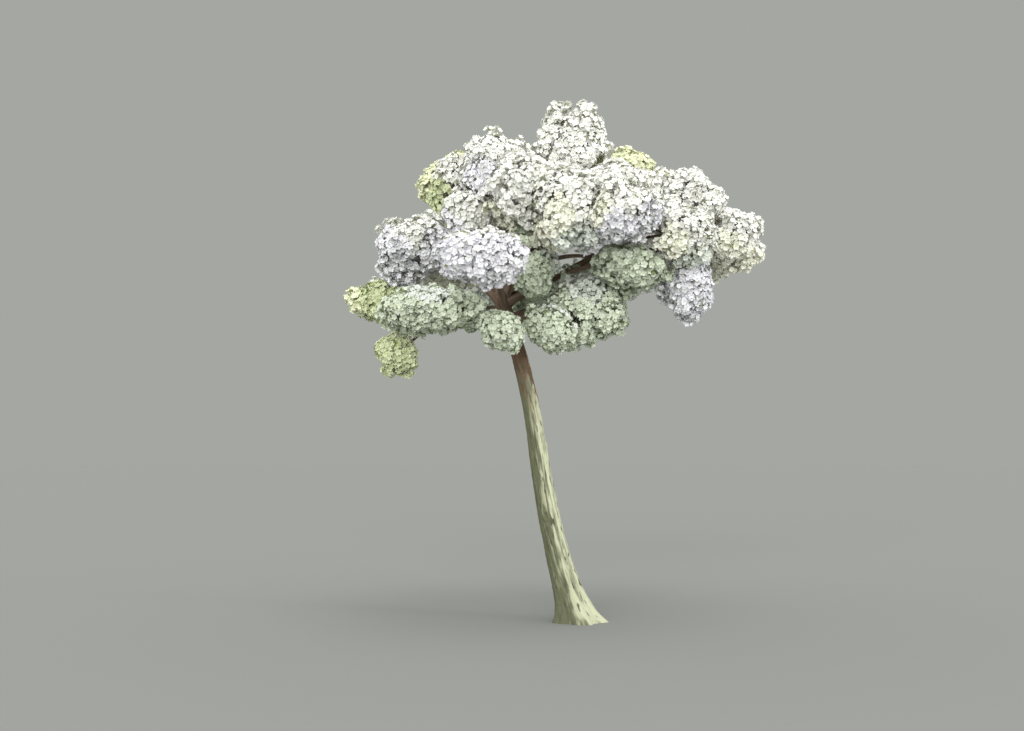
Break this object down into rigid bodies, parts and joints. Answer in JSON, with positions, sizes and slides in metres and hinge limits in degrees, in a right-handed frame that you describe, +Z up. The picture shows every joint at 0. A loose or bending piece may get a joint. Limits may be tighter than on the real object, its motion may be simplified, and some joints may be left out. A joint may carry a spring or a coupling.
{
  "type": "white cherry blossom tree",
  "caption": "Small white cherry tree in full blossom: slender leaning trunk with a root flare, spreading boughs and an umbrella crown of separate blossom masses.",
  "frame": {"origin": "middle of the flat cut under the trunk, at ground level", "axes": "+Z up; -Y towards the side that the picture shows; +X to the right in the picture, so the trunk leans towards -X"},
  "size_m": [4.248, 3.9141, 5.2053],
  "materials": {
    "bark": "matt ridged grey bark with paler lit streaks, red-brown towards the fork",
    "young_bark": "satin red-brown bark with fine cross bands",
    "blossom_white": "soft matt white petals",
    "blossom_lilac": "soft matt petals, white with a breath of lilac",
    "blossom_cream": "soft matt petals, cream with young green leaves",
    "blossom_shade": "soft matt petals of the shaded underside, grey-green white"
  },
  "bodies": {
    "root": {"trunk": "bark", "bough_crown_top": "young_bark", "bough_left": "young_bark", "bough_far_right": "young_bark", "bough_back": "young_bark", "bough_front": "young_bark", "bough_front_left": "young_bark", "bough_back_left": "young_bark", "bough_lower_left": "young_bark", "bough_lower_right_inner": "young_bark", "bough_lower_back_right": "young_bark", "bough_lower_back_left": "young_bark", "bough_left_tip": "young_bark", "bough_left_hollow": "young_bark", "bough_upper_left": "young_bark", "bough_upper_front": "young_bark", "bough_upper_front_right": "young_bark", "bough_left_shoulder": "young_bark", "bough_front_right": "young_bark", "bough_top_right": "young_bark", "bough_upper_right": "young_bark", "bough_right_front": "young_bark", "bough_right_drop": "young_bark", "bough_lower_right_outer": "young_bark", "bough_back_right": "young_bark", "bough_upper_back_left": "young_bark", "bough_upper_back_right": "young_bark", "bough_right_back": "young_bark", "bough_left_pendant": "young_bark", "blossom_crown_top": "blossom_white", "blossom_left": "blossom_lilac", "blossom_far_right": "blossom_white", "blossom_back": "blossom_white", "blossom_front": "blossom_white", "blossom_front_left": "blossom_lilac", "blossom_back_left": "blossom_white", "blossom_lower_left": "blossom_shade", "blossom_lower_right_inner": "blossom_shade", "blossom_lower_front": "blossom_shade", "blossom_lower_front_right": "blossom_shade", "blossom_lower_back_right": "blossom_shade", "blossom_lower_back_left": "blossom_shade", "blossom_left_tip": "blossom_cream", "blossom_fork_front": "blossom_shade", "blossom_left_hollow": "blossom_white", "blossom_upper_left": "blossom_lilac", "blossom_upper_front": "blossom_white", "blossom_upper_front_right": "blossom_white", "blossom_left_shoulder": "blossom_cream", "blossom_front_right": "blossom_lilac", "blossom_top_right": "blossom_cream", "blossom_upper_right": "blossom_white", "blossom_right_front": "blossom_white", "blossom_right_drop": "blossom_lilac", "blossom_lower_right_outer": "blossom_shade", "blossom_back_right": "blossom_white", "blossom_upper_back_left": "blossom_white", "blossom_upper_back_right": "blossom_white", "blossom_right_back": "blossom_white", "blossom_left_pendant": "blossom_cream"}
  },
  "joints": []
}
